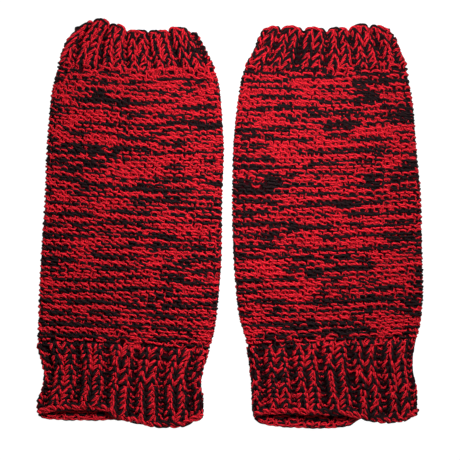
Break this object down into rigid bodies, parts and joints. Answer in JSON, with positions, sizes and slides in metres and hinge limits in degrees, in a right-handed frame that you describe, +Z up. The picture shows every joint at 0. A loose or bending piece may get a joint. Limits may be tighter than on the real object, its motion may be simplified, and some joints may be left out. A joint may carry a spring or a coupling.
{
  "type": "pair of knitted leg warmers",
  "caption": "Pair of chunky hand-knitted leg warmers in marled yarn, laid flat: wide plain tubes with ribbed cuffs at both ends.",
  "frame": {"origin": "on the surface the pair lies on, under the middle of the pair", "axes": "+Z up out of the surface; +Y along the leg warmers from the lower hems to the upper ones; +X across from the left leg warmer to the right one"},
  "size_m": [0.3774, 0.4002, 0.0151],
  "materials": {
    "leg_knit": "matte",
    "cuff_knit": "matte"
  },
  "bodies": {
    "root": {"left_upper_cuff": "cuff_knit", "left_leg": "leg_knit", "left_lower_cuff": "cuff_knit", "right_upper_cuff": "cuff_knit", "right_leg": "leg_knit", "right_lower_cuff": "cuff_knit"}
  },
  "joints": []
}
